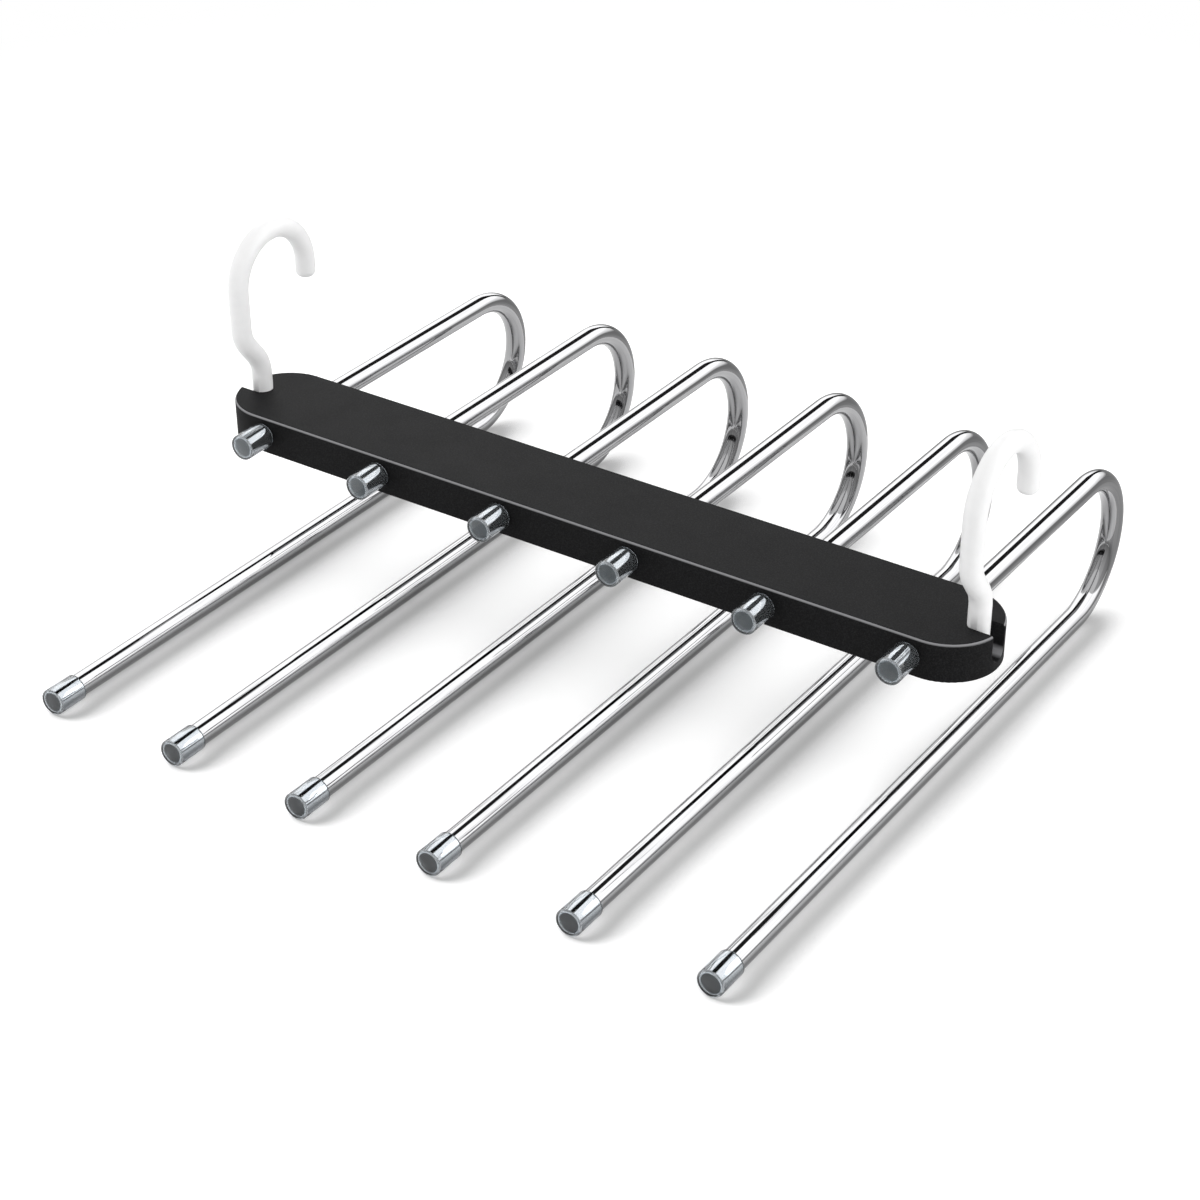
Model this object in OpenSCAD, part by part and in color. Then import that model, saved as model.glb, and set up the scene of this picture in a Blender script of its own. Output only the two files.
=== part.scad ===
// Folding trouser hanger. A moulded bar carries six U-bent steel tubes that swivel about their
// short upper arms, and a rail hook at each end that folds outwards into a slot.
// X runs along the bar, Y from the open arm ends to the bends, Z up. The hanger stands on its
// lower arms, and the origin is the middle of the box round it, on the ground.

/* [Bar] */
// Distance between neighbouring tubes
pitch = 62; // [56:1:75]
// From the outermost tube to the end of the bar
end_len = 27; // [25:0.5:36]
// Depth of the bar, front to back, and so the diameter of its round ends
bar_depth = 43.5; // [38:0.5:52]
// Thickness of the bar
bar_thick = 16.8; // [15.4:0.2:22]
// Rounding of the bar's top edge
top_edge_r = 1.3; // [0.6:0.1:2]
// Rounding of the bar's bottom edge
low_edge_r = 0.6; // [0.3:0.1:1]
// Thickness of the side walls
side_wall = 2.4; // [1.6:0.1:3.2]
// Thickness of the top wall
top_wall = 2; // [1.4:0.1:2.8]
// Thickness of the ribs
rib_t = 1.4; // [1:0.1:2]
// Height of the lengthwise ribs under the top wall
rib_h = 6; // [3:0.5:8]
// Wall beside each tube's bearing
bearing_wall = 2.2; // [1.4:0.1:3]
// Chamfer at both mouths of each tube's bore
bore_lead = 0.4; // [0.2:0.1:0.6]

/* [Bottom cover] */
// Thickness of the cover plate
cover_t = 2.2; // [1.6:0.1:2.8]
// Rim of the bar left round the cover
cover_rim = 1.6; // [1.2:0.1:2.2]
// Diameter of the screw's shank
screw_d = 2.9; // [2.4:0.1:3.2]
// Diameter of the screw's head
screw_head_d = 5.6; // [5:0.1:6.4]
// Length of the screw under its countersunk head
screw_len = 8; // [6:0.5:10]
// Outer diameter of the boss that each screw enters
boss_d = 8; // [6.5:0.5:10]

/* [Tubes] */
// Outer diameter of the steel tube
tube_d = 9.5; // [8:0.5:10.5]
// Wall of the steel tube
tube_wall = 0.8; // [0.5:0.1:1.2]
// Bend radius on the tube's centre line: half the distance between the two arms
bend_r = 32; // [28:1:45]
// From the bar's centre line back to where the bend starts
back_reach = 130.5; // [100:1:170]
// From the bar's centre line forward to the tip of the lower arm's cap
front_reach = 155.5; // [110:1:190]
// Swing of each lower arm towards +X in the position shown, in degrees
lean = [-3, -1, 0, 1, 2, 0]; // [-10:0.5:10]
// Length of the collar inside the bar
collar_len = 5.4; // [4:0.2:8]
// Wall of the collar
collar_wall = 1.4; // [1:0.1:1.6]

/* [End caps] */
// Length of a cap over all
cap_len = 14; // [10:0.5:20]
// Wall of the cap's sleeve
cap_wall = 0.85; // [0.5:0.05:1.1]
// Thickness of the cap's closed end
cap_end = 1.2; // [0.8:0.1:2]
// Rounding of the closed end's edge
cap_edge_r = 0.75; // [0.2:0.05:0.8]
// Rounding of the edge at the sleeve's mouth
cap_lip_r = 0.2; // [0.1:0.05:0.3]

/* [Hooks] */
// Diameter of the hook's rod
hook_d = 8.8; // [7:0.2:9.6]
// From the end of the bar in to the hook's pivot
hook_inset = 9; // [8:0.5:11]
// Height of the straight stem over the pivot
stem_h = 16.1; // [14:0.1:20]
// Bend radius of the rod where it steps towards the front
step_r = 15; // [10:1:18]
// Straight slope between the step's two bends
step_len = 7.5; // [4:0.5:12]
// Height of the curl's centre over the pivot
curl_h = 56.4; // [50:1:70]
// Radius of the curl on the rod's centre line
curl_r = 21.7; // [18:0.5:26]
// Straight stretch under the curl, down to the rounded tip
tip_len = 7.6; // [5:0.2:12]
// Rounding of the tip's edge
tip_edge_r = 2.8; // [1:0.2:3.4]
// Diameter of the hook's pivot pin
pin_d = 3; // [2.4:0.1:3.4]
// Length of the pivot pin
pin_len = 22.4; // [18:0.4:26]

/* [Fits] */
// Radial clearance where one piece turns on another
turn_fit = 0.08; // [0.02:0.01:0.1]
// Radial clearance of what is pushed on tight
push_fit = 0.02; // [0.01:0.01:0.03]
// Gap between neighbours that only pass or meet
gap = 0.3; // [0.2:0.05:0.4]

/* [Hidden] */
$fn = 96;
// How far every cut runs past the face that it opens
overrun = 1;
arm_count = len(lean);
arms = [0 : arm_count - 1];
function tube_x(i) = (i - (arm_count - 1) / 2) * pitch;

tube_r = tube_d / 2;
drop = 2 * bend_r;
bar_top = bar_thick / 2;
end_r = bar_depth / 2;
bar_half = tube_x(arm_count - 1) + end_len;
end_x = bar_half - end_r;

cap_r = tube_r + push_fit + cap_wall;
cap_bore_len = cap_len - cap_end;
// The upper arm's cap stops just in front of the bar, which sets where that arm is cut
stub_tip = end_r + gap + cap_len;
stub_cut = stub_tip - cap_end - push_fit;
arm_cut = front_reach - cap_end - push_fit;

bore_r = tube_r + turn_fit;
collar_r = tube_r + collar_wall;
collar_space_r = collar_r + gap;
bearing_half = tube_r + bearing_wall;
bay_len = pitch - 2 * bearing_half;
bay_depth = bar_depth - 2 * side_wall;
ceiling = bar_top - top_wall;
seat = cover_t - bar_top;

hook_r = hook_d / 2;
hook_x = bar_half - hook_inset;
slot_r = hook_r + gap;
// The step slopes as the long side of a 3-4-5 triangle does
slope_sin = 3 / 5;
slope_cos = 4 / 5;
slope_turn = asin(slope_sin);
step_y = 2 * step_r * (1 - slope_cos) + step_len * slope_sin;
step_h = 2 * step_r * slope_sin + step_len * slope_cos;
pin_r = pin_d / 2;
pin_seat_r = pin_r + push_fit;
// The posts on the cover that keep a pin up lie midway between the slot and the pin's end
post_len = (pin_len / 2 - slot_r) / 2;
post_y = (pin_len / 2 + slot_r) / 2;
post_half = pin_r - gap / 2;
cheek_half = pin_len / 2 + side_wall / 2;

screw_r = screw_d / 2;
head_r = screw_head_d / 2;
head_h = head_r - screw_r;
driver_t = screw_r / 3;
// Depth of the hole in the boss: what of the screw stands over the cover, and a little more
screw_hole_len = head_h + screw_len - cover_t + gap;

// Where the bar's centre comes, so that the box round the hanger is centred over the origin
lift = max([for (a = lean) drop * cos(a)]) + cap_r;
back_end = back_reach + bend_r + tube_r;
shift = (front_reach - back_end) / 2;

// Moves from the bar's centre, on the tubes' axes, to the place on the ground
module at_bar() translate([0, shift, lift]) children();

// Along tube i: the upper arm lies on the Y axis and the lower arm hangs under it
module at_tube(i) at_bar() translate([tube_x(i), 0, 0]) rotate([0, -lean[i], 0]) children();

// Turns what stands on Z to lie along +Y
module along_y() rotate([-90, 0, 0]) children();

// A cylinder along Y from one place to another
module y_rod(r, from, to) translate([0, from, 0]) along_y() cylinder(r = r, h = to - from);

// The bar's outline in plan, drawn in by an inset
module bar_plan(inset) {
    square([2 * end_x, bar_depth - 2 * inset], center = true);
    for (side = [-1, 1]) translate([side * end_x, 0]) circle(r = end_r - inset);
}

// Half of the bar's cross-section, with both edges rounded
module half_section() {
    translate([0, -bar_top]) square([end_r - low_edge_r, bar_thick]);
    translate([0, low_edge_r - bar_top]) square([end_r - top_edge_r, bar_thick - low_edge_r]);
    translate([0, low_edge_r - bar_top]) square([end_r, bar_thick - low_edge_r - top_edge_r]);
    translate([end_r - low_edge_r, low_edge_r - bar_top]) circle(r = low_edge_r);
    translate([end_r - top_edge_r, bar_top - top_edge_r]) circle(r = top_edge_r);
}

// The bar before it is hollowed: on each side a round end, and a straight half up to the middle
module bar_solid() for (side = [-1, 1]) translate([side * end_x, 0, 0]) rotate([0, 0, -90 * side]) {
    rotate_extrude(angle = 180) half_section();
    rotate([90, 0, 0]) linear_extrude(end_x) {
        half_section();
        mirror([1, 0]) half_section();
    }
}

// The space between two neighbouring tube bearings, with its ribs and screw boss left standing
module bay() {
    difference() {
        translate([-bay_len / 2, -bay_depth / 2, seat - overrun])
            cube([bay_len, bay_depth, ceiling - seat + overrun]);
        for (side = [-1, 1]) translate([0, side * bay_depth / 4, 0])
            translate([-bay_len / 2 - overrun, -rib_t / 2, ceiling - rib_h])
                cube([bay_len + 2 * overrun, rib_t, rib_h + overrun]);
        translate([-rib_t / 2, -bay_depth / 2 - overrun, ceiling - rib_h])
            cube([rib_t, bay_depth + 2 * overrun, rib_h + overrun]);
        translate([0, 0, seat]) cylinder(d = boss_d, h = ceiling - seat + overrun);
    }
    translate([0, 0, seat - overrun]) cylinder(r = screw_r + push_fit, h = screw_hole_len + overrun);
}

// The slot that a hook stands in and folds outwards through, drawn for the right-hand end
module hook_slot() {
    translate([hook_x, 0, 0]) {
        cylinder(r = slot_r, h = bar_top + overrun);
        sphere(r = slot_r);
        rotate([0, 90, 0]) cylinder(r = slot_r, h = hook_inset + overrun);
        translate([0, -slot_r, 0]) cube([hook_inset + overrun, 2 * slot_r, bar_top + overrun]);
    }
}

// The seat for a pivot pin, open downwards for fitting it, drawn for the right-hand end
module pin_seat() {
    translate([hook_x, 0, 0]) {
        y_rod(pin_seat_r, -pin_len / 2 - push_fit, pin_len / 2 + push_fit);
        for (side = [-1, 1]) translate([-pin_seat_r, side * post_y - post_len / 2 - gap, seat - overrun])
            cube([2 * pin_seat_r, post_len + 2 * gap, overrun - seat]);
    }
}

// The hollows beside the slot that keep the end's walls even, drawn for the right-hand end
module end_cores() {
    core_x = tube_x(arm_count - 1) + bearing_half;
    for (side = [-1, 1]) intersection() {
        translate([end_x, 0, seat - overrun]) cylinder(r = end_r - side_wall, h = ceiling - seat + overrun);
        translate([core_x, side == 1 ? cheek_half : -end_r, seat - overrun])
            cube([end_r, end_r - cheek_half, ceiling - seat + overrun]);
    }
}

module both_ends() {
    children();
    mirror([1, 0, 0]) children();
}

module bar_housing() color("#242424") at_bar() difference() {
    bar_solid();
    translate([0, 0, -bar_top - overrun]) linear_extrude(cover_t + overrun) bar_plan(cover_rim);
    for (i = arms) translate([tube_x(i), 0, 0]) {
        y_rod(bore_r, -end_r - overrun, end_r + overrun);
        for (side = [-1, 1]) rotate([-90 * side, 0, 0]) translate([0, 0, end_r - bore_lead])
            cylinder(r1 = bore_r, r2 = bore_r + bore_lead + overrun, h = bore_lead + overrun);
        translate([-collar_space_r, -collar_len / 2 - gap, seat - overrun])
            cube([2 * collar_space_r, collar_len + 2 * gap, collar_space_r - seat + overrun]);
    }
    for (i = [0 : arm_count - 2]) translate([tube_x(i) + pitch / 2, 0, 0]) bay();
    both_ends() {
        hook_slot();
        pin_seat();
        end_cores();
    }
}

// A countersunk screw with its head's face on z = 0, pointing up
module screw() difference() {
    union() {
        cylinder(r1 = head_r, r2 = screw_r, h = head_h);
        cylinder(r = screw_r, h = screw_len + head_h);
    }
    for (turn = [0, 90]) rotate([0, 0, turn]) translate([-screw_r, -driver_t / 2, -overrun])
        cube([2 * screw_r, driver_t, overrun + head_h]);
}

// Runs its children at each screw, at the level of the cover's outer face
module at_screws() for (i = [0 : arm_count - 2])
    translate([tube_x(i) + pitch / 2, 0, -bar_top]) children();

module bottom_cover() color("#2b2b2b") at_bar() {
    difference() {
        translate([0, 0, -bar_top]) linear_extrude(cover_t) bar_plan(cover_rim + gap / 2);
        at_screws() {
            translate([0, 0, -overrun]) cylinder(r = screw_r + gap / 2, h = cover_t + 2 * overrun);
            cylinder(r1 = head_r + push_fit, r2 = screw_r + push_fit, h = head_h);
        }
        for (i = arms) translate([tube_x(i), 0, 0])
            y_rod(collar_space_r, -collar_len / 2 - gap, collar_len / 2 + gap);
    }
    for (end = [-1, 1], side = [-1, 1])
        translate([end * hook_x - post_half, side * post_y - post_len / 2, seat])
            cube([2 * post_half, post_len, -seat - pin_r - gap / 2]);
}

module cover_screws() color("silver") at_bar() at_screws() screw();

// The straight stretch at the tip, up from z = 0, with its lower edge rounded
module hook_tip() rotate_extrude() {
    translate([0, tip_edge_r]) square([hook_r, tip_len - tip_edge_r]);
    square([hook_r - tip_edge_r, tip_edge_r]);
    intersection() {
        translate([hook_r - tip_edge_r, tip_edge_r]) circle(r = tip_edge_r);
        square([hook_r, tip_len]);
    }
}

// An arc of the rod round the X axis, between two angles counted from +Y towards +Z
module rod_arc(r, from, to) rotate([90, 0, 90]) rotate_extrude(start = from, angle = to - from)
    translate([r, 0]) circle(r = hook_r);

// The step's bend from upright to the slope, round its own centre; the far end is cut square
// to the slope
module step_bend() difference() {
    rod_arc(step_r, 0, 90);
    rotate([slope_turn, 0, 0]) translate([-hook_r - overrun, -step_r, 0])
        cube([2 * (hook_r + overrun), 2 * step_r + hook_r + overrun, step_r + hook_r + overrun]);
}

// The hook as the right-hand end has it, round its pivot: a rod from the domed foot through a
// step to the front and over the curl to the rounded tip
module hook() {
    difference() {
        union() {
            sphere(r = hook_r);
            cylinder(r = hook_r, h = stem_h);
        }
        y_rod(pin_r + turn_fit, -hook_r - overrun, hook_r + overrun);
    }
    translate([0, -step_r, stem_h]) {
        step_bend();
        rotate([slope_turn, 0, 0]) translate([0, step_r, 0]) cylinder(r = hook_r, h = step_len);
    }
    translate([0, step_r - step_y, stem_h + step_h]) rotate([180, 0, 0]) step_bend();
    translate([0, -step_y, stem_h + step_h]) cylinder(r = hook_r, h = curl_h - stem_h - step_h);
    translate([0, curl_r - step_y, curl_h]) rod_arc(curl_r, 0, 180);
    translate([0, 2 * curl_r - step_y, curl_h - tip_len]) hook_tip();
}

module right_hook() color("white") at_bar() translate([hook_x, 0, 0]) hook();
module left_hook() color("white") at_bar() translate([-hook_x, 0, 0]) hook();

module hook_pin(side) color("silver") at_bar() translate([side * hook_x, 0, 0])
    y_rod(pin_r, -pin_len / 2, pin_len / 2);
module right_hook_pin() hook_pin(1);
module left_hook_pin() hook_pin(-1);

// The tube's cut section
module tube_ring() difference() {
    circle(r = tube_r);
    circle(r = tube_r - tube_wall);
}

// Both arms start from the bend's two ends, on the bend's own centre, and run to the front
module tube(i) color("#c8cbce") at_tube(i) translate([0, back_reach, -bend_r]) {
    rotate([0, -90, 0]) rotate_extrude(angle = 180) translate([bend_r, 0]) tube_ring();
    translate([0, 0, bend_r]) rotate([90, 0, 0]) linear_extrude(back_reach + stub_cut) tube_ring();
    translate([0, 0, -bend_r]) rotate([90, 0, 0]) linear_extrude(back_reach + arm_cut) tube_ring();
}

// A clear sleeve with its closed, round-edged end at y = 0 and its mouth towards +Y
module cap() along_y() rotate_extrude() difference() {
    union() {
        translate([0, cap_edge_r]) square([cap_r, cap_len - cap_edge_r - cap_lip_r]);
        translate([0, cap_edge_r]) square([cap_r - cap_lip_r, cap_len - cap_edge_r]);
        square([cap_r - cap_edge_r, cap_len]);
        translate([cap_r - cap_edge_r, cap_edge_r]) circle(r = cap_edge_r);
        translate([cap_r - cap_lip_r, cap_len - cap_lip_r]) circle(r = cap_lip_r);
    }
    translate([0, cap_end]) square([tube_r + push_fit, cap_bore_len + overrun]);
}

module arm_cap(i) color([0.72, 0.77, 0.82, 0.5]) at_tube(i) translate([0, -front_reach, -drop]) cap();
module stub_cap(i) color([0.72, 0.77, 0.82, 0.5]) at_tube(i) translate([0, -stub_tip, 0]) cap();

module stop_collar(i) color("ivory") at_tube(i) difference() {
    y_rod(collar_r, -collar_len / 2, collar_len / 2);
    y_rod(tube_r + push_fit, -collar_len / 2 - overrun, collar_len / 2 + overrun);
}

bar_housing();
bottom_cover();
cover_screws();
left_hook();
right_hook();
left_hook_pin();
right_hook_pin();
for (i = arms) {
    tube(i);
    arm_cap(i);
    stub_cap(i);
    stop_collar(i);
}
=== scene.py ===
"""Folding trouser hanger: a black bar, six polished tubes, clear caps and two white rail hooks.

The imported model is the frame. Each sub-assembly is a class that dresses its solids or builds the
piece that stands for them, and each finish is a frozen dataclass named for the real material.
All lengths are in metres unless a name ends in _mm.
"""
import logging
import math
from dataclasses import dataclass, field
from enum import Enum
from typing import Any, Mapping, Sequence

import bmesh
import bpy
from mathutils import Matrix, Vector


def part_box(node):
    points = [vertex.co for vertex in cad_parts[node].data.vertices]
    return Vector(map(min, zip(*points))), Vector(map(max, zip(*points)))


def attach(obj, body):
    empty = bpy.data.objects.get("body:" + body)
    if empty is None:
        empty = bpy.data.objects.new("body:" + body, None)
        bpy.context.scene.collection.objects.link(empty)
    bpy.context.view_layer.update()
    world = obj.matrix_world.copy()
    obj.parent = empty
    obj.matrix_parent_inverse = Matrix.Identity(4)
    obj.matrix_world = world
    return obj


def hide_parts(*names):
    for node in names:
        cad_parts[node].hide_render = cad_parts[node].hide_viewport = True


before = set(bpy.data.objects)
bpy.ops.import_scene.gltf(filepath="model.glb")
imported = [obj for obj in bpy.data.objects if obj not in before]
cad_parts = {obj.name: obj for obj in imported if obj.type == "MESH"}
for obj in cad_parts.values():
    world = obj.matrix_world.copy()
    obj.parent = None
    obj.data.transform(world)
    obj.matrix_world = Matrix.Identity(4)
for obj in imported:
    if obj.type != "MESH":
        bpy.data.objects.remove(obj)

LOG = logging.getLogger("trouser_hanger")
MM = 0.001
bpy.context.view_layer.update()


class Side(Enum):
    """The two ends of the bar."""

    LEFT = "left"
    RIGHT = "right"


class Grade(Enum):
    """What a card's glow is graded by."""

    HEIGHT = "height over the floor"
    DISTANCE = "distance from the middle"


def linear(code: str) -> tuple[float, float, float, float]:
    """Turns an sRGB hex colour into Blender's linear one.

    Args:
        code: Six hex digits after a hash sign.

    Returns:
        Red, green, blue and an alpha of 1.
    """
    parts = [int(code[i:i + 2], 16) / 255 for i in (1, 3, 5)]
    red, green, blue = (c / 12.92 if c <= 0.04045 else ((c + 0.055) / 1.055) ** 2.4 for c in parts)
    return red, green, blue, 1.0


def per_metre(size_mm: float) -> float:
    """Gives the texture scale at which one cell of a pattern is that many millimetres wide."""
    return 1 / (size_mm * MM)


def add_node(
    tree: bpy.types.NodeTree,
    kind: str,
    settings: Mapping[str, Any] | None = None,
    inputs: Mapping[str | int, Any] | None = None,
) -> bpy.types.Node:
    """Adds one node with its settings, and sets or links its inputs.

    Args:
        tree: The node tree that gets the node.
        kind: The node's Blender type.
        settings: The node's own properties.
        inputs: For each input, a value or another node's output socket.

    Returns:
        The new node.
    """
    node = tree.nodes.new(kind)
    for key, value in (settings or {}).items():
        setattr(node, key, value)
    for key, value in (inputs or {}).items():
        if isinstance(value, bpy.types.NodeSocket):
            tree.links.new(value, node.inputs[key])
        else:
            node.inputs[key].default_value = value
    return node


def add_ramp(
    tree: bpy.types.NodeTree,
    factor: bpy.types.NodeSocket,
    stops: Sequence[tuple[float, tuple[float, float, float, float]]],
) -> bpy.types.NodeSocket:
    """Adds a colour ramp.

    Args:
        tree: The node tree that gets the ramp.
        factor: What drives it.
        stops: Place and colour of each stop, in order.

    Returns:
        The ramp's colour output.
    """
    node = add_node(tree, "ShaderNodeValToRGB", inputs={"Fac": factor})
    ramp = node.color_ramp
    while len(ramp.elements) < len(stops):
        ramp.elements.new(0.5)
    for element, (place, colour) in zip(ramp.elements, stops):
        element.position = place
        element.color = colour
    return node.outputs["Color"]


def grey(value: float) -> tuple[float, float, float, float]:
    """Gives a linear grey for a ramp that drives a number."""
    return value, value, value, 1.0


def new_material(name: str) -> tuple[bpy.types.Material, bpy.types.NodeTree]:
    """Makes an empty node material.

    Args:
        name: The material's name.

    Returns:
        The material and its emptied node tree.
    """
    material = bpy.data.materials.new(name)
    material.use_nodes = True
    material.node_tree.nodes.clear()
    return material, material.node_tree


def finish_with(tree: bpy.types.NodeTree, shader: bpy.types.NodeSocket) -> None:
    """Links a shader to a new material output."""
    add_node(tree, "ShaderNodeOutputMaterial", inputs={"Surface": shader})


@dataclass(frozen=True)
class GrainedPlastic:
    """Injection-moulded ABS from a spark-eroded mould: dull, with a fine even grain."""

    name: str = "black_abs_spark_eroded_grain"
    base: str = "#131314"
    speck: str = "#262627"
    # Painted highlight colour for the rolled edges
    edge_highlight: str = "#8a8a8c"
    roughness: float = 0.6
    specular: float = 0.07
    # The real grain is 0.2 mm wide, under one pixel here, so it is drawn at 0.55 mm to show
    grain_mm: float = 0.55
    flow_mm: float = 14.0
    grain_depth_mm: float = 0.02
    round_mm: float = 0.25

    def material(self) -> bpy.types.Material:
        """Builds the node material."""
        material, tree = new_material(self.name)
        place = add_node(tree, "ShaderNodeTexCoord").outputs["Object"]
        grain = add_node(tree, "ShaderNodeTexNoise", inputs={
            "Vector": place, "Scale": per_metre(self.grain_mm), "Detail": 2.0, "Roughness": 0.6})
        flow = add_node(tree, "ShaderNodeTexNoise", inputs={
            "Vector": place, "Scale": per_metre(self.flow_mm), "Detail": 2.0})
        specks = add_ramp(tree, grain.outputs["Fac"], [
            (0.42, linear(self.base)), (0.74, linear(self.speck))])
        # Painted highlight: the rolled top edges, whose normals lean between up and sideways, get a
        # lighter base colour
        turned = add_node(tree, "ShaderNodeNewGeometry").outputs["Normal"]
        upright = add_node(tree, "ShaderNodeSeparateXYZ", inputs={"Vector": turned}).outputs["Z"]
        highlight_band = add_ramp(tree, upright, [
            (0.15, grey(0)), (0.55, grey(1)), (0.8, grey(1)), (0.97, grey(0))])
        colour = add_node(tree, "ShaderNodeMix", {"data_type": "RGBA"}, {
            "Factor": highlight_band, "A": specks, "B": linear(self.edge_highlight)})
        rough = add_ramp(tree, flow.outputs["Fac"], [
            (0.3, grey(self.roughness - 0.02)), (0.7, grey(self.roughness + 0.02))])
        round_edge = add_node(tree, "ShaderNodeBevel", {"samples": 4}, {
            "Radius": self.round_mm * MM})
        bump = add_node(tree, "ShaderNodeBump", inputs={
            "Strength": 0.35, "Distance": self.grain_depth_mm * MM,
            "Height": grain.outputs["Fac"], "Normal": round_edge.outputs["Normal"]})
        shader = add_node(tree, "ShaderNodeBsdfPrincipled", inputs={
            "Base Color": colour.outputs["Result"], "Roughness": rough,
            "Specular IOR Level": self.specular, "IOR": 1.53, "Normal": bump.outputs["Normal"]})
        finish_with(tree, shader.outputs["BSDF"])
        return material


@dataclass(frozen=True)
class SmoothPlastic:
    """A smooth moulded or dip-coated skin: satin, with a very slight orange peel."""

    name: str
    base: str
    shade: str
    roughness: float
    peel_mm: float = 4.0
    peel_depth_mm: float = 0.002

    def material(self) -> bpy.types.Material:
        """Builds the node material."""
        material, tree = new_material(self.name)
        place = add_node(tree, "ShaderNodeTexCoord").outputs["Object"]
        peel = add_node(tree, "ShaderNodeTexNoise", inputs={
            "Vector": place, "Scale": per_metre(self.peel_mm), "Detail": 1.0})
        colour = add_ramp(tree, peel.outputs["Fac"], [
            (0.3, linear(self.shade)), (0.6, linear(self.base))])
        rough = add_ramp(tree, peel.outputs["Fac"], [
            (0.3, grey(self.roughness - 0.04)), (0.7, grey(self.roughness + 0.04))])
        bump = add_node(tree, "ShaderNodeBump", inputs={
            "Strength": 0.1, "Distance": self.peel_depth_mm * MM, "Height": peel.outputs["Fac"]})
        shader = add_node(tree, "ShaderNodeBsdfPrincipled", inputs={
            "Base Color": colour, "Roughness": rough, "IOR": 1.5,
            "Normal": bump.outputs["Normal"]})
        finish_with(tree, shader.outputs["BSDF"])
        return material


@dataclass(frozen=True)
class PolishedTube:
    """Bright-polished stainless steel tube: a clean mirror with faint drawing lines along it."""

    name: str = "stainless_tube_bright_polished"
    base: str = "#b4b4b5"
    dull: str = "#a8a8aa"
    roughness: float = 0.04
    line_mm: float = 0.5
    stretch: float = 60.0

    def material(self) -> bpy.types.Material:
        """Builds the node material."""
        material, tree = new_material(self.name)
        # The place on the tube before it was bent, so that the lines follow the bend
        place = add_node(tree, "ShaderNodeAttribute", {
            "attribute_name": "straight"}).outputs["Vector"]
        drawn = add_node(tree, "ShaderNodeMapping", inputs={
            "Vector": place, "Scale": (1.0, 1.0, 1 / self.stretch)})
        lines = add_node(tree, "ShaderNodeTexNoise", inputs={
            "Vector": drawn.outputs["Vector"], "Scale": per_metre(self.line_mm), "Detail": 2.0})
        colour = add_ramp(tree, lines.outputs["Fac"], [
            (0.3, linear(self.dull)), (0.6, linear(self.base))])
        rough = add_ramp(tree, lines.outputs["Fac"], [
            (0.3, grey(self.roughness + 0.03)), (0.65, grey(self.roughness))])
        shader = add_node(tree, "ShaderNodeBsdfPrincipled", inputs={
            "Base Color": colour, "Metallic": 1.0, "Roughness": rough})
        finish_with(tree, shader.outputs["BSDF"])
        return material


@dataclass(frozen=True)
class ClearSleeve:
    """Clear dip-moulded PVC: glassy, with a faint blue-grey tint and soft flow ripples."""

    name: str = "clear_pvc_dip_moulded"
    haze: float = 0.0
    tint: str = "#e2e8ec"
    cloud: str = "#dde4e9"
    ripple_mm: float = 9.0
    ripple_depth_mm: float = 0.003

    def material(self) -> bpy.types.Material:
        """Builds the node material."""
        material, tree = new_material(self.name)
        place = add_node(tree, "ShaderNodeTexCoord").outputs["Object"]
        ripple = add_node(tree, "ShaderNodeTexNoise", inputs={
            "Vector": place, "Scale": per_metre(self.ripple_mm), "Detail": 1.0})
        tint = add_ramp(tree, ripple.outputs["Fac"], [
            (0.3, linear(self.cloud)), (0.6, linear(self.tint))])
        bump = add_node(tree, "ShaderNodeBump", inputs={
            "Strength": 0.08, "Distance": self.ripple_depth_mm * MM,
            "Height": ripple.outputs["Fac"]})
        shader = add_node(tree, "ShaderNodeBsdfPrincipled", inputs={
            "Base Color": tint, "Roughness": 0.0, "IOR": 1.5,
            "Transmission Weight": 1 - self.haze, "Normal": bump.outputs["Normal"]})
        finish_with(tree, shader.outputs["BSDF"])
        return material


@dataclass(frozen=True)
class FrostedEnd:
    """A dull face of a cap: the matt inside of its closed end, whose dark colour is painted shade,
    or its scuffed outer rim.
    """

    name: str
    base: str
    clear: float = 0.45
    roughness: float = 0.4
    swirl_mm: float = 2.5

    def material(self) -> bpy.types.Material:
        """Builds the node material."""
        material, tree = new_material(self.name)
        place = add_node(tree, "ShaderNodeTexCoord").outputs["Object"]
        swirl = add_node(tree, "ShaderNodeTexNoise", inputs={
            "Vector": place, "Scale": per_metre(self.swirl_mm), "Detail": 1.0, "Distortion": 1.2})
        red, green, blue, _ = linear(self.base)
        colour = add_ramp(tree, swirl.outputs["Fac"], [
            (0.35, (red * 0.88, green * 0.88, blue * 0.88, 1.0)), (0.65, (red, green, blue, 1.0))])
        shader = add_node(tree, "ShaderNodeBsdfPrincipled", inputs={
            "Base Color": colour, "Roughness": self.roughness, "IOR": 1.5,
            "Transmission Weight": self.clear})
        finish_with(tree, shader.outputs["BSDF"])
        return material


@dataclass(frozen=True)
class PlatedSteel:
    """Ground or zinc-plated steel of small fasteners: bright with a fine scatter."""

    name: str
    base: str
    roughness: float
    grit_mm: float = 0.4

    def material(self) -> bpy.types.Material:
        """Builds the node material."""
        material, tree = new_material(self.name)
        place = add_node(tree, "ShaderNodeTexCoord").outputs["Object"]
        grit = add_node(tree, "ShaderNodeTexNoise", inputs={
            "Vector": place, "Scale": per_metre(self.grit_mm), "Detail": 2.0})
        rough = add_ramp(tree, grit.outputs["Fac"], [
            (0.3, grey(self.roughness - 0.06)), (0.7, grey(self.roughness + 0.08))])
        shader = add_node(tree, "ShaderNodeBsdfPrincipled", inputs={
            "Base Color": linear(self.base), "Metallic": 1.0, "Roughness": rough})
        finish_with(tree, shader.outputs["BSDF"])
        return material


Ring = list[Vector]


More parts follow.
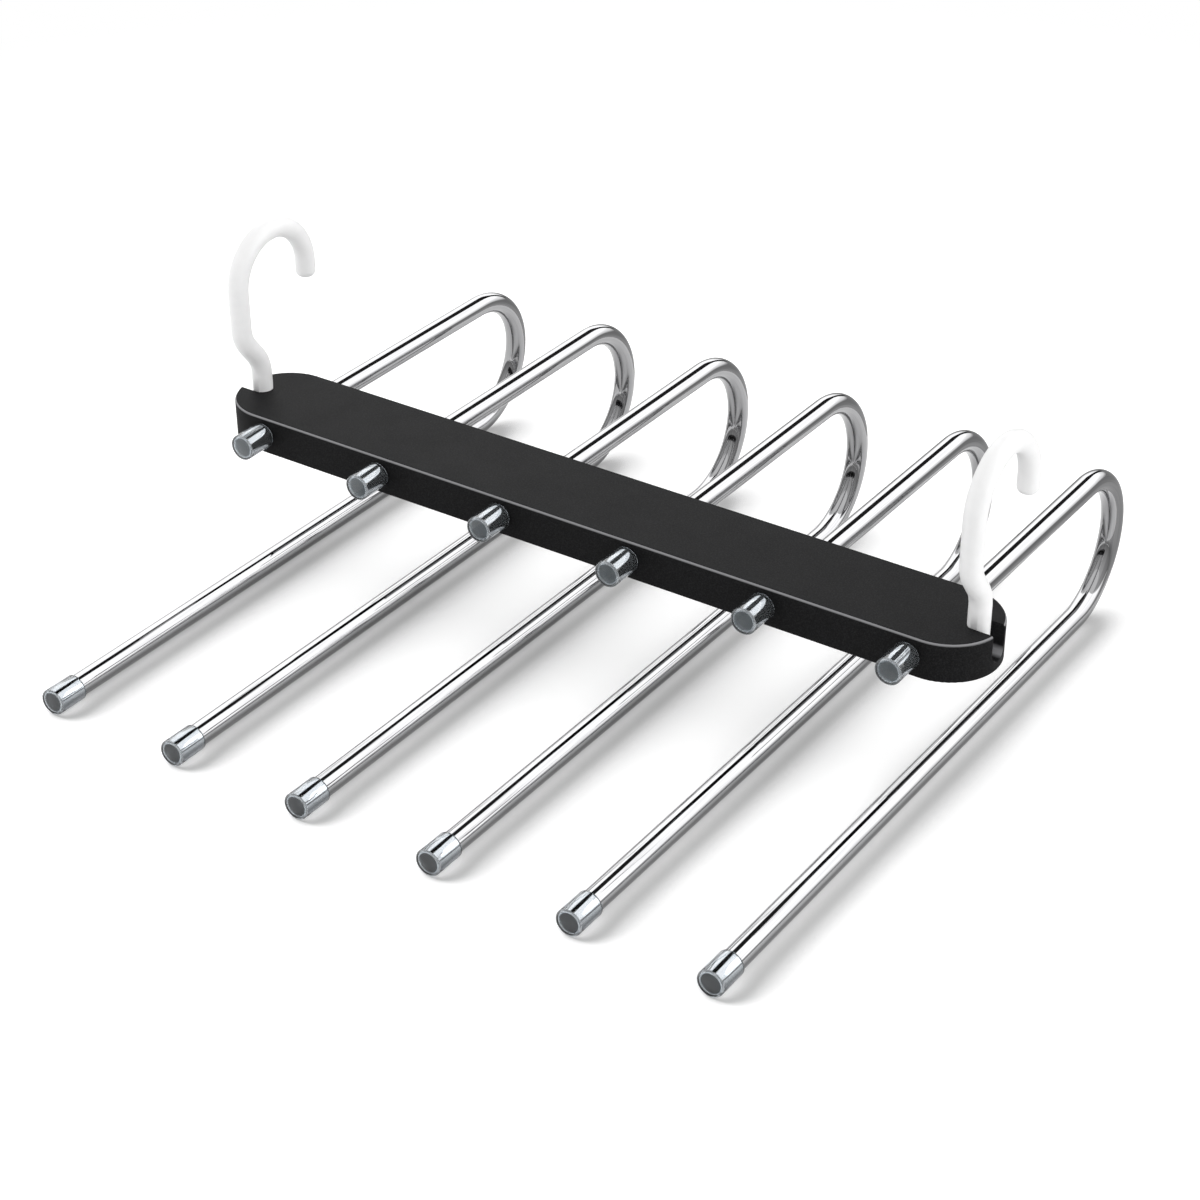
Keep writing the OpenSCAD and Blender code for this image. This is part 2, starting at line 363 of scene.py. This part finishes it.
def ring(centre: Vector, across: Vector, up: Vector, radius: float, steps: int) -> Ring:
    """Places points evenly on a circle.

    Args:
        centre: The circle's centre.
        across: First unit vector of the circle's plane.
        up: Second unit vector of the circle's plane.
        radius: The circle's radius.
        steps: How many points.

    Returns:
        The points, in order.
    """
    turns = (2 * math.pi * i / steps for i in range(steps))
    return [centre + radius * (math.cos(a) * across + math.sin(a) * up) for a in turns]


def skin(name: str, rings: Sequence[Ring], closed: bool, sharp: float = 40.0) -> bpy.types.Mesh:
    """Joins rings of points to one smooth skin.

    Args:
        name: The mesh's name.
        rings: The rings in order. A ring of one point closes the skin there.
        closed: Whether the last ring joins the first.
        sharp: Edges that turn by more than this many degrees stay crisp.

    Returns:
        The mesh.
    """
    points = [tuple(point) for loop in rings for point in loop]
    starts = [sum(len(loop) for loop in rings[:i]) for i in range(len(rings))]
    faces: list[tuple[int, ...]] = []
    pairs = list(zip(range(len(rings)), range(1, len(rings)))) + (
        [(len(rings) - 1, 0)] if closed else [])
    for first, second in pairs:
        a, b = starts[first], starts[second]
        many = max(len(rings[first]), len(rings[second]))
        for i in range(many):
            j = (i + 1) % many
            if len(rings[first]) == 1:
                faces.append((a, b + j, b + i))
            elif len(rings[second]) == 1:
                faces.append((a + i, a + j, b))
            else:
                faces.append((a + i, a + j, b + j, b + i))
    mesh = bpy.data.meshes.new(name)
    mesh.from_pydata(points, [], faces)
    shape = bmesh.new()
    shape.from_mesh(mesh)
    bmesh.ops.recalc_face_normals(shape, faces=shape.faces)
    shape.to_mesh(mesh)
    shape.free()
    mesh.shade_smooth()
    mesh.set_sharp_from_angle(angle=math.radians(sharp))
    return mesh


def bored(mesh: bpy.types.Mesh, drill: bpy.types.Mesh) -> bpy.types.Mesh:
    """Cuts one mesh out of another.

    Args:
        mesh: The piece.
        drill: What is taken out of it.

    Returns:
        The cut mesh, under the piece's name.
    """
    pair = [bpy.data.objects.new(name, data) for name, data in (("piece", mesh), ("cut", drill))]
    for item in pair:
        bpy.context.collection.objects.link(item)
    cut = pair[0].modifiers.new("bore", "BOOLEAN")
    cut.operation, cut.object = "DIFFERENCE", pair[1]
    result = bpy.data.meshes.new_from_object(
        pair[0].evaluated_get(bpy.context.evaluated_depsgraph_get()))
    for item in pair:
        bpy.data.objects.remove(item)
    name = mesh.name
    bpy.data.meshes.remove(mesh)
    bpy.data.meshes.remove(drill)
    result.name = name
    return result


def place(mesh: bpy.types.Mesh, node: str, body: str, slot: str,
          *finishes: bpy.types.Material) -> None:
    """Puts a piece in the scene in place of a CAD node.

    Args:
        mesh: The piece's mesh, in the shared frame.
        node: The CAD node that it stands for.
        body: The body that it rides on.
        slot: The record's material slot. Not used.
        finishes: Its materials, by slot number.
    """
    for finish in finishes:
        mesh.materials.append(finish)
    piece = bpy.data.objects.new(mesh.name, mesh)
    bpy.context.collection.objects.link(piece)
    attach(piece, body)
    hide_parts(node)
    LOG.info("%s: %d faces on %s, for %s", mesh.name, len(mesh.polygons), body, node)


def dress(node: str, material: bpy.types.Material) -> None:
    """Gives a CAD node its finish.

    Args:
        node: The CAD node's name.
        material: The finish.
    """
    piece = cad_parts[node]
    piece.data.materials.clear()
    piece.data.materials.append(material)
    LOG.info("%s: dressed in %s", node, material.name)


@dataclass
class Bar:
    """The moulded bar with its cover and screws."""

    plastic: GrainedPlastic = field(default_factory=GrainedPlastic)
    screws: PlatedSteel = field(default_factory=lambda: PlatedSteel(
        "zinc_plated_screw_steel", "#c4c6c8", 0.28))

    def build(self) -> None:
        """Dresses the housing, the cover and the screws."""
        black = self.plastic.material()
        dress("bar_housing", black)
        dress("bottom_cover", black)
        dress("cover_screws", self.screws.material())


@dataclass
class RailHooks:
    """The two folding rail hooks and the pins that they turn on."""

    steps: int = 64
    rod_r_mm: float = 4.4
    stem_mm: float = 16.1
    step_r_mm: float = 15.0
    slope_deg: float = 36.87
    slope_mm: float = 7.5
    curl_high_mm: float = 56.38
    curl_r_mm: float = 21.7
    tip_mm: float = 7.6
    tip_round_mm: float = 2.8
    bore_r_mm: float = 1.58
    coating: SmoothPlastic = field(default_factory=lambda: SmoothPlastic(
        "white_dip_coated_rod", "#eeeeee", "#ececec", 0.4))
    pin: PlatedSteel = field(default_factory=lambda: PlatedSteel(
        "ground_pin_steel", "#b9bbbd", 0.22))

    def build(self) -> None:
        """Builds the hooks and dresses the pins."""
        white, steel = self.coating.material(), self.pin.material()
        for side in Side:
            place(self.hook(side), f"{side.value}_hook", f"{side.value}_rail_hook",
                  "hook_white", white)
            dress(f"{side.value}_hook_pin", steel)

    def stations(self) -> list[tuple[float, float, float, float]]:
        """Follows the rod from its domed foot to its rounded tip, round the pivot.

        Returns:
            For each ring: how far back and up its centre lies, its lean to the front in
            degrees, and its radius, all lengths in mm.
        """
        r, low, slope = self.rod_r_mm, self.tip_round_mm, math.radians(self.slope_deg)
        dome = [(0.0, -r * math.cos(t), 0.0, r * math.sin(t))
                for t in (math.radians(a) for a in range(0, 91, 6))]
        out = self.bend((0.0, self.stem_mm), self.step_r_mm, 0.0, self.slope_deg, 14)
        back, up = out[-1][:2]
        back, up = back - self.slope_mm * math.sin(slope), up + self.slope_mm * math.cos(slope)
        upright = self.bend((back, up), -self.step_r_mm, self.slope_deg, 0.0, 14)
        curl = self.bend((upright[-1][0], self.curl_high_mm), -self.curl_r_mm, 0.0, -180.0, 90)
        back, up = curl[-1][:2]
        floor = up - self.tip_mm
        tip = [(back, floor + low * (1 - math.sin(t)), -180.0, r - low * (1 - math.cos(t)))
               for t in (math.radians(a) for a in range(0, 91, 10))]
        return dome + out + upright + curl + tip + [(back, floor, -180.0, 0.0)]

    def bend(self, start: tuple[float, float], bend_r: float, first: float, last: float,
             parts: int) -> list[tuple[float, float, float, float]]:
        """Follows one bend of the rod.

        Args:
            start: How far back and up it starts, in mm.
            bend_r: The bend's radius in mm, below zero where it turns the other way.
            first: The lean at its start, in degrees.
            last: The lean at its end, in degrees.
            parts: How many steps it is cut into.

        Returns:
            Its rings, as stations gives them.
        """
        a, b = math.radians(first), math.radians(last)
        hub_back, hub_up = start[0] - bend_r * math.cos(a), start[1] - bend_r * math.sin(a)
        turns = (a + (b - a) * part / parts for part in range(parts + 1))
        return [(hub_back + bend_r * math.cos(t), hub_up + bend_r * math.sin(t),
                 math.degrees(t), self.rod_r_mm) for t in turns]

    def hook(self, side: Side) -> bpy.types.Mesh:
        """Skins one hook's rod and bores it for its pin.

        Args:
            side: The end of the bar that it stands on.

        Returns:
            The mesh.
        """
        low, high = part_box(f"{side.value}_hook_pin")
        pivot, across = (low + high) / 2, Vector((1.0, 0.0, 0.0))
        rings = []
        for back, up, lean, radius in self.stations():
            centre = pivot + Vector((0.0, back, up)) * MM
            out = Vector((0.0, math.cos(math.radians(lean)), math.sin(math.radians(lean))))
            rings.append([centre] if radius == 0.0 else
                         ring(centre, across, out, radius * MM, self.steps))
        rod = skin(f"{side.value}_rod", rings, False)
        upright, reach = Vector((0.0, 0.0, 1.0)), 2 * self.rod_r_mm * MM
        ends = [pivot + Vector((0.0, along, 0.0)) for along in (-reach, reach)]
        drill = skin("drill", [[ends[0]]] + [
            ring(end, across, upright, self.bore_r_mm * MM, self.steps) for end in ends
        ] + [[ends[1]]], False)
        return bored(rod, drill)


@dataclass
class ArmLine:
    """Where one arm's two straight runs lie, read from the boxes of its caps."""

    number: int
    upper: Vector = field(init=False)
    lower: Vector = field(init=False)
    upper_end: float = field(init=False)
    lower_end: float = field(init=False)
    back: float = field(init=False)

    def __post_init__(self) -> None:
        """Reads the runs from the frame."""
        low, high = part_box(f"stub_cap_{self.number}")
        self.upper = Vector(((low.x + high.x) / 2, 0.0, (low.z + high.z) / 2))
        stub_front = low.y
        low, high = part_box(f"arm_cap_{self.number}")
        self.lower = Vector(((low.x + high.x) / 2, 0.0, (low.z + high.z) / 2))
        tube_low, tube_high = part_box(f"tube_{self.number}")
        self.lower_end = tube_low.y
        self.upper_end = stub_front + tube_low.y - low.y
        self.back = tube_high.y

    @property
    def up(self) -> Vector:
        """Unit vector from the lower run to the upper one."""
        return (self.upper - self.lower).normalized()

    @property
    def across(self) -> Vector:
        """Unit vector square to the arm's plane."""
        return Vector((0.0, 1.0, 0.0)).cross(self.up)


@dataclass
class SwivelArms:
    """The six tubes with their caps and collars."""

    count: int = 6
    steps: int = 64
    bend_steps: int = 56
    tube_r_mm: float = 4.75
    tube_wall_mm: float = 0.8
    deburr_mm: float = 0.12
    cap_long_mm: float = 14.0
    cap_end_mm: float = 1.2
    cap_r_mm: float = 5.62
    # The stretched sleeve wets the tube with no air between, so its bore dips under the steel
    cap_bore_mm: float = 4.7
    cap_round_mm: float = 0.75
    cap_lip_mm: float = 0.16
    cap_lip_share: float = 0.3
    land_r_mm: float = 4.15
    land_sink_mm: float = 0.08
    land_gap_mm: float = 0.02
    seat_mm: float = 0.25
    steel: PolishedTube = field(default_factory=PolishedTube)
    arm_sleeve: ClearSleeve = field(default_factory=ClearSleeve)
    stub_sleeve: ClearSleeve = field(default_factory=lambda: ClearSleeve(
        "hazy_pvc_dip_moulded", 0.045))
    # Painted shade: the lands' dark colours stand for the shadowed hollow of the tube, the upper
    # ones lighter as if more light reached them
    arm_land_painted_shade: FrostedEnd = field(default_factory=lambda: FrostedEnd(
        "frosted_pvc_end_painted_shade_lower", "#33363a", 0.15))
    stub_land_painted_shade: FrostedEnd = field(default_factory=lambda: FrostedEnd(
        "frosted_pvc_end_painted_shade_upper", "#767c80", 0.3))
    rim: FrostedEnd = field(default_factory=lambda: FrostedEnd(
        "scuffed_pvc_rim", "#e2e8ec", 0.8, 0.15))
    collar: SmoothPlastic = field(default_factory=lambda: SmoothPlastic(
        "natural_acetal_collar", "#d8d2bf", "#cfc8b3", 0.4))

    def build(self) -> None:
        """Builds every arm's tube and caps and dresses its collar."""
        steel, rim, collar = (f.material() for f in (self.steel, self.rim, self.collar))
        lower = self.arm_sleeve.material(), self.arm_land_painted_shade.material(), rim
        upper = self.stub_sleeve.material(), self.stub_land_painted_shade.material(), rim
        for number in range(1, self.count + 1):
            line, body = ArmLine(number), f"arm_{number}"
            place(self.tube(line), f"tube_{number}", body, "tube_steel", steel)
            place(self.cap(f"lower_sleeve_{number}", line, line.lower, line.lower_end),
                  f"arm_cap_{number}", body, "cap_clear", *lower)
            place(self.cap(f"upper_sleeve_{number}", line, line.upper, line.upper_end),
                  f"stub_cap_{number}", body, "cap_clear", *upper)
            dress(f"stop_collar_{number}", collar)

    def tube(self, line: ArmLine) -> bpy.types.Mesh:
        """Sweeps the hollow tube round its bend.

        Args:
            line: The arm's straight runs.

        Returns:
            The mesh, with each point's place on the straight tube kept as an attribute.
        """
        outer = self.tube_r_mm * MM
        inner = outer - self.tube_wall_mm * MM
        burr = self.deburr_mm * MM
        bend = (line.upper - line.lower).length / 2
        turn_y = line.back - outer - bend
        middle = (line.upper + line.lower) / 2
        stops: list[tuple[Vector, Vector, float]] = []
        ahead = Vector((0.0, 1.0, 0.0))
        stops.append((line.upper + ahead * line.upper_end, line.up, 0.0))
        stops.append((line.upper + ahead * (line.upper_end + burr), line.up, burr))
        run = turn_y - line.upper_end
        for step in range(self.bend_steps + 1):
            turn = math.pi * step / self.bend_steps
            out = math.cos(turn) * line.up + math.sin(turn) * ahead
            stops.append((middle + ahead * turn_y + bend * out, out, run + bend * turn))
        run += bend * math.pi + turn_y - line.lower_end
        stops.append((line.lower + ahead * (line.lower_end + burr), -line.up, run - burr))
        stops.append((line.lower + ahead * line.lower_end, -line.up, run))
        rings, flat = [], []
        for radius, trim, order in ((outer, burr, stops), (inner, -burr, stops[::-1])):
            for centre, out, along in order:
                at_end = along in (stops[0][2], stops[-1][2])
                reach = radius - trim if at_end else radius
                rings.append(ring(centre, line.across, out, reach, self.steps))
                flat += ring(Vector((0.0, 0.0, along)), Vector((1.0, 0.0, 0.0)),
                             Vector((0.0, 1.0, 0.0)), reach, self.steps)
        mesh = skin(f"bent_tube_{line.number}", rings, True)
        kept = mesh.attributes.new("straight", "FLOAT_VECTOR", "POINT")
        kept.data.foreach_set("vector", [value for point in flat for value in point])
        return mesh

    def cap(self, name: str, line: ArmLine, axis: Vector, tube_end: float) -> bpy.types.Mesh:
        """Turns a cap: a thin sleeve with a thick rounded end and a frosted land inside.

        Args:
            name: The mesh's name.
            line: The arm that it is on.
            axis: Where the run's axis crosses the frame's middle.
            tube_end: How far forward the tube reaches.

        Returns:
            The mesh, its land faces in the second material slot and its rim in the third.
        """
        front = tube_end - self.cap_end_mm * MM
        mouth = front + self.cap_long_mm * MM
        wide, bore, bow = self.cap_r_mm * MM, self.cap_bore_mm * MM, self.cap_round_mm * MM
        land, sink, lip = (v * MM for v in (self.land_r_mm, self.land_sink_mm, self.cap_lip_mm))
        seat, stop = self.seat_mm * MM, tube_end - self.land_gap_mm * MM
        turned = lip * self.cap_lip_share
        outline = [(0.0, front), (land, front), (wide - bow, front)]
        outline += [(wide - bow + bow * math.sin(a), front + bow - bow * math.cos(a))
                    for a in (math.radians(v) for v in (15, 30, 45, 60, 75, 90))]
        outline += [(wide, mouth - lip), (wide - turned, mouth - turned),
                    (wide - lip, mouth), (bore + lip, mouth), (bore, mouth - lip),
                    (bore, tube_end + seat), (bore - seat, stop), (land, stop),
                    (land - sink, tube_end - sink), (0.0, tube_end - sink)]
        rings = []
        for radius, along in outline:
            centre = axis + Vector((0.0, along, 0.0))
            rings.append([centre] if radius == 0.0 else
                         ring(centre, line.across, line.up, radius, self.steps))
        mesh = skin(name, rings, False)
        middle = axis + Vector((0.0, tube_end, 0.0))
        # The land faces take the finish with the painted shade of the tube's hollow
        for face in mesh.polygons:
            off = face.center - middle
            out = math.hypot(off.x, off.z)
            if out < land and abs(off.y) < 2 * sink:
                face.material_index = 1
            elif out > wide - bow and face.center.y < front + bow:
                face.material_index = 2
        return mesh


@dataclass
class Studio:
    """A plain pale floor, soft light, cards for the steel to reflect, and the camera."""

    dome_level: float = 0.8
    floor_size: float = 8.0
    floor_drop_mm: float = 0.05
    fibre_mm: float = 30.0
    clear_radius: float = 0.42
    fade_radius: float = 0.85
    shade_reach: float = 0.04
    shade_stops: tuple[tuple[float, float], ...] = (
        (0.22, 0.95), (0.38, 0.64), (0.52, 0.46), (0.62, 0.47), (0.72, 0.7), (0.84, 0.92),
        (0.93, 1.0))
    lift: float = 0.36
    reach: float = 3.0
    strip_share: float = 0.96
    wall_share: float = 1.02
    sheet_steps: int = 24
    apron_start: float = 0.25
    apron_rise_mm: float = 0.2
    bounce_y_mm: tuple[float, float] = (-112.0, -10.0)
    bounce_fade_mm: float = 40.0
    bounce_z_mm: float = 32.0
    bounce_gap_mm: tuple[float, float] = (12.5, 2.0)
    bounce_wing_mm: float = 120.0
    bounce_level: float = 2.3
    # Camera, from a fit to the photograph: place from the bar's middle, turn, tilt and lens
    eye_mm: tuple[float, float, float] = (523.31, -756.70, 525.70)
    azimuth: float = 34.5
    elevation: float = 31.61
    roll: float = -0.37
    lens: float = 78.88

    def build(self) -> None:
        """Makes the floor, the world, the lamps, the cards and the camera."""
        self.world()
        self.floor()
        self.cards()
        self.lamps()
        self.camera()

    def seen(self, tree: bpy.types.NodeTree, mirrored: bool = True) -> bpy.types.NodeSocket:
        """Gives 1 for the rays that show the background.

        Args:
            tree: The node tree that gets the nodes.
            mirrored: Whether mirror rays count too, and not only camera and clear ones.

        Returns:
            The number's output.
        """
        rays = add_node(tree, "ShaderNodeLightPath").outputs
        direct = add_node(tree, "ShaderNodeMath", {"operation": "MAXIMUM"}, {
            0: rays["Is Camera Ray"], 1: rays["Is Transmission Ray"]}).outputs["Value"]
        if not mirrored:
            return direct
        return add_node(tree, "ShaderNodeMath", {"operation": "MAXIMUM"}, {
            0: direct, 1: rays["Is Glossy Ray"]}).outputs["Value"]

    def world(self) -> None:
        """White for what is seen in the background, softer as a light."""
        world = bpy.data.worlds.new("studio")
        bpy.context.scene.world = world
        world.use_nodes = True
        tree = world.node_tree
        tree.nodes.clear()
        level = add_node(tree, "ShaderNodeMapRange", inputs={
            "Value": self.seen(tree), "To Min": self.dome_level, "To Max": 1.0})
        light = add_node(tree, "ShaderNodeBackground", inputs={
            "Color": linear("#ffffff"), "Strength": level.outputs["Result"]})
        add_node(tree, "ShaderNodeOutputWorld", inputs={"Surface": light.outputs["Background"]})

    def floor(self) -> None:
        """A sweep of white paper that fades into the white background away from the object."""
        half, drop = self.floor_size / 2, -self.floor_drop_mm * MM
        mesh = bpy.data.meshes.new("paper_floor")
        mesh.from_pydata([(-half, -half, drop), (half, -half, drop), (half, half, drop),
                          (-half, half, drop)], [], [(0, 1, 2, 3)])
        material, tree = new_material("white_paper_sweep")
        place = add_node(tree, "ShaderNodeTexCoord").outputs["Object"]
        fibre = add_node(tree, "ShaderNodeTexNoise", inputs={
            "Vector": place, "Scale": per_metre(self.fibre_mm), "Detail": 2.0})
        colour = add_ramp(tree, fibre.outputs["Fac"], [
            (0.3, linear("#f8f8f8")), (0.7, linear("#fafafa"))])
        white = add_node(tree, "ShaderNodeEmission", inputs={"Color": linear("#ffffff")})
        away = add_node(tree, "ShaderNodeVectorMath", {"operation": "LENGTH"}, {0: place})
        fade = add_node(tree, "ShaderNodeMapRange", {"interpolation_type": "SMOOTHSTEP"}, {
            "Value": away.outputs["Value"], "From Min": self.clear_radius,
            "From Max": self.fade_radius})
        share = add_node(tree, "ShaderNodeMath", {"operation": "MULTIPLY"}, {
            0: fade.outputs["Result"], 1: self.seen(tree)})
        blend = add_node(tree, "ShaderNodeMixShader", inputs={
            0: share.outputs["Value"], 1: self.lit_paper(tree, colour),
            2: white.outputs["Emission"]})
        finish_with(tree, blend.outputs["Shader"])
        self.stand(mesh, material)

    def lit_paper(self, tree: bpy.types.NodeTree,
                  colour: bpy.types.NodeSocket) -> bpy.types.NodeSocket:
        """Lifts the paper's level and shades it beside the object.

        It is shaded to the right of each piece, as by a wide low light on the left, and lighter
        again where a piece rests on it.

        Args:
            tree: The paper's node tree.
            colour: The paper's colour.

        Returns:
            The shader's output.
        """
        left = add_node(tree, "ShaderNodeCombineXYZ", inputs={"X": -0.8, "Y": -0.2, "Z": 0.57})
        open_left = add_node(tree, "ShaderNodeAmbientOcclusion", {"samples": 32}, {
            "Distance": self.shade_reach, "Normal": left.outputs["Vector"]})
        shade = add_ramp(tree, open_left.outputs["AO"], [
            (share, grey(level)) for share, level in self.shade_stops])
        shaded = add_node(tree, "ShaderNodeVectorMath", {"operation": "SCALE"}, {
            0: colour, "Scale": shade})
        paper = add_node(tree, "ShaderNodeBsdfDiffuse", inputs={
            "Color": shaded.outputs["Vector"]})
        lift = add_node(tree, "ShaderNodeMath", {"operation": "MULTIPLY"}, {
            0: self.seen(tree, mirrored=False), 1: shade})
        glow = add_node(tree, "ShaderNodeEmission", inputs={
            "Color": grey(self.lift), "Strength": lift.outputs["Value"]})
        return add_node(tree, "ShaderNodeAddShader", inputs={
            0: paper.outputs["BSDF"], 1: glow.outputs["Emission"]}).outputs["Shader"]

    def stand(self, mesh: bpy.types.Mesh, material: bpy.types.Material,
              mirror_only: bool = False) -> None:
        """Puts a sheet of the set in the scene.

        Args:
            mesh: The sheet.
            material: Its finish.
            mirror_only: Whether only the shiny pieces see it, so that it gives no light.
        """
        mesh.materials.append(material)
        sheet = bpy.data.objects.new(mesh.name, mesh)
        bpy.context.collection.objects.link(sheet)
        if mirror_only:
            sheet.visible_camera = False
            sheet.visible_diffuse = False
            sheet.visible_shadow = False
            sheet.visible_volume_scatter = False
        LOG.info("%s: set sheet in %s", mesh.name, material.name)

    def shell(self, name: str, radius: float,
              rows: Sequence[tuple[float, float, float]]) -> bpy.types.Mesh:
        """Makes a sheet on a sphere round the object.

        Args:
            name: The sheet's name.
            radius: The sphere's radius.
            rows: For each height angle, the turns from the back at which the sheet starts and
                ends, clockwise from above, all in degrees.

        Returns:
            The mesh.
        """
        points, steps = [], self.sheet_steps
        for height, start, end in rows:
            up = math.radians(height)
            for step in range(steps + 1):
                turn = math.radians(start + (end - start) * step / steps)
                points.append((radius * math.cos(up) * math.sin(turn),
                               radius * math.cos(up) * math.cos(turn), radius * math.sin(up)))
        wide = steps + 1
        faces = [(r * wide + i, r * wide + i + 1, (r + 1) * wide + i + 1, (r + 1) * wide + i)
                 for r in range(len(rows) - 1) for i in range(steps)]
        mesh = bpy.data.meshes.new(name)
        mesh.from_pydata(points, [], faces)
        return mesh

    def card(self, name: str, stops: Sequence[tuple[float, float]],
             along: Grade = Grade.HEIGHT) -> bpy.types.Material:
        """Makes a card's even or graded glow.

        Args:
            name: The material's name.
            stops: Place and strength of each stop; the place is a share of the set's reach.
            along: What it is graded by.

        Returns:
            The material.
        """
        material, tree = new_material(name)
        place = add_node(tree, "ShaderNodeTexCoord").outputs["Object"]
        if along is Grade.HEIGHT:
            far = add_node(tree, "ShaderNodeSeparateXYZ", inputs={"Vector": place}).outputs["Z"]
        else:
            far = add_node(tree, "ShaderNodeVectorMath", {"operation": "LENGTH"}, {
                0: place}).outputs["Value"]
        share = add_node(tree, "ShaderNodeMath", {"operation": "DIVIDE"}, {
            0: far, 1: self.reach}).outputs["Value"]
        most = max(strength for _, strength in stops)
        tone = add_ramp(tree, share, [(p, grey(strength / most)) for p, strength in stops])
        glow = add_node(tree, "ShaderNodeEmission", inputs={"Color": tone, "Strength": most})
        finish_with(tree, glow.outputs["Emission"])
        return material

    def cards(self) -> None:
        """The cards round a set for polished steel: only the shiny pieces see them.

        A graded softbox behind, a black strip along it, grey behind the camera, and a grey
        apron on the floor. They give the tubes their sharp dark line and grey undersides.
        """
        far = self.reach
        self.stand(self.shell("back_softbox", far, [(h, -64, 76) for h in range(0, 81, 8)]),
                   self.card("graded_softbox", [
                       (0.0, 0.2), (0.06, 0.7), (0.12, 1.35), (0.21, 1.7), (0.29, 2.3)]),
                   mirror_only=True)
        self.stand(self.shell("black_strip", far * self.strip_share, [
            (1, -12, -3), (14, -12, -2), (24, -14, -1), (32, -23, 3), (40, -29, 8),
            (50, -38, 9), (60, -48, 7), (70, -60, 3), (80, -90, -4)]),
            self.card("black_flag_cloth", [(0.0, 0.06), (0.3, 0.02), (1.0, 0.02)]),
            mirror_only=True)
        self.stand(self.shell("grey_wall", far * self.wall_share, [
            (h, 80, 292) for h in range(0, 49, 8)]),
            self.card("grey_studio_wall", [(0.0, 0.22), (0.3, 0.42), (0.8, 0.7)]),
            mirror_only=True)
        apron = self.shell("grey_apron", 1.0, [(0, -38, 180)] * 2)
        for count, point in enumerate(apron.vertices):
            point.co *= self.apron_start if count < len(apron.vertices) / 2 else far
            point.co.z = self.apron_rise_mm * MM
        self.stand(apron, self.card("grey_apron_card", [
            (0.08, 0.55), (0.14, 0.33), (0.3, 0.3), (1.0, 0.35)], Grade.DISTANCE),
            mirror_only=True)
        self.stand(self.bounce_strips(), self.underside_glow(), mirror_only=True)

    def bounce_strips(self) -> bpy.types.Mesh:
        """White strips hung between the arms, so that the lower arms don't mirror the black bar."""
        lines = [ArmLine(number) for number in range(1, SwivelArms.count + 1)]
        near, far = (v * MM for v in self.bounce_y_mm)
        high, wing = self.bounce_z_mm * MM, self.bounce_wing_mm * MM
        left, right = (v * MM for v in self.bounce_gap_mm)
        starts = [lines[0].lower.x - wing] + [line.lower.x + right for line in lines]
        ends = [line.lower.x - left for line in lines] + [lines[-1].lower.x + wing]
        points, faces = [], []
        for start, end in zip(starts, ends):
            first = len(points)
            points += [(start, near, high), (start, far, high), (end, far, high), (end, near, high)]
            faces.append((first, first + 1, first + 2, first + 3))
        mesh = bpy.data.meshes.new("bounce_strips")
        mesh.from_pydata(points, [], faces)
        return mesh

    def underside_glow(self) -> bpy.types.Material:
        """Makes a strip that glows downwards only, is clear from above and fades to the front."""
        material, tree = new_material("white_bounce_strip")
        above = add_node(tree, "ShaderNodeNewGeometry").outputs["Backfacing"]
        place = add_node(tree, "ShaderNodeTexCoord").outputs["Object"]
        back = add_node(tree, "ShaderNodeSeparateXYZ", inputs={"Vector": place}).outputs["Y"]
        near = self.bounce_y_mm[0] * MM
        fade = add_node(tree, "ShaderNodeMapRange", {"interpolation_type": "SMOOTHSTEP"}, {
            "Value": back, "From Min": near, "From Max": near + self.bounce_fade_mm * MM,
            "To Min": 1.0, "To Max": 0.0})
        gone = add_node(tree, "ShaderNodeMath", {"operation": "MAXIMUM"}, {
            0: above, 1: fade.outputs["Result"]})
        glow = add_node(tree, "ShaderNodeEmission", inputs={
            "Color": linear("#ffffff"), "Strength": self.bounce_level})
        clear = add_node(tree, "ShaderNodeBsdfTransparent")
        both = add_node(tree, "ShaderNodeMixShader", inputs={
            0: gone.outputs["Value"], 1: glow.outputs["Emission"], 2: clear.outputs["BSDF"]})
        finish_with(tree, both.outputs["Shader"])
        return material

    def lamps(self) -> None:
        """A large soft lamp from the left and a larger, weaker one from the right."""
        for name, place, size, power in (
            ("key_softbox", (-1.63, -0.61, 0.98), 2.0, 15.0),
            ("fill_softbox", (1.72, 0.45, 0.9), 1.6, 16.0),
        ):
            lamp = bpy.data.lights.new(name, "AREA")
            lamp.shape = "SQUARE"
            lamp.size = size
            lamp.energy = power
            holder = bpy.data.objects.new(name, lamp)
            holder.location = place
            holder.rotation_mode = "QUATERNION"
            holder.rotation_quaternion = (-Vector(place)).to_track_quat("-Z", "Y")
            holder.visible_glossy = False
            bpy.context.collection.objects.link(holder)

    def camera(self) -> None:
        """Sets the camera where the photograph was taken from."""
        low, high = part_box("bar_housing")
        middle = (low + high) / 2
        a, e, t = (math.radians(v) for v in (self.azimuth, self.elevation, self.roll))
        ahead = Vector((-math.sin(a) * math.cos(e), math.cos(a) * math.cos(e), -math.sin(e)))
        level = Vector((math.cos(a), math.sin(a), 0.0))
        upright = level.cross(ahead)
        right = math.cos(t) * level + math.sin(t) * upright
        up = right.cross(ahead)
        data = bpy.data.cameras.new("photo_camera")
        data.sensor_width = 36.0
        data.lens = self.lens
        data.clip_start, data.clip_end = 0.05, 30.0
        camera = bpy.data.objects.new("photo_camera", data)
        camera.matrix_world = Matrix.Translation(middle + Vector(self.eye_mm) * MM) @ Matrix(
            (right, up, -ahead)).transposed().to_4x4()
        bpy.context.collection.objects.link(camera)
        bpy.context.scene.camera = camera


def main() -> None:
    """Builds the studio and every sub-assembly."""
    logging.basicConfig(level=logging.INFO, format="%(name)s: %(message)s")
    scene = bpy.context.scene
    scene.view_settings.view_transform = "Standard"
    Studio().build()
    for assembly in (Bar(), RailHooks(), SwivelArms()):
        assembly.build()


if __name__ == "__main__":
    main()
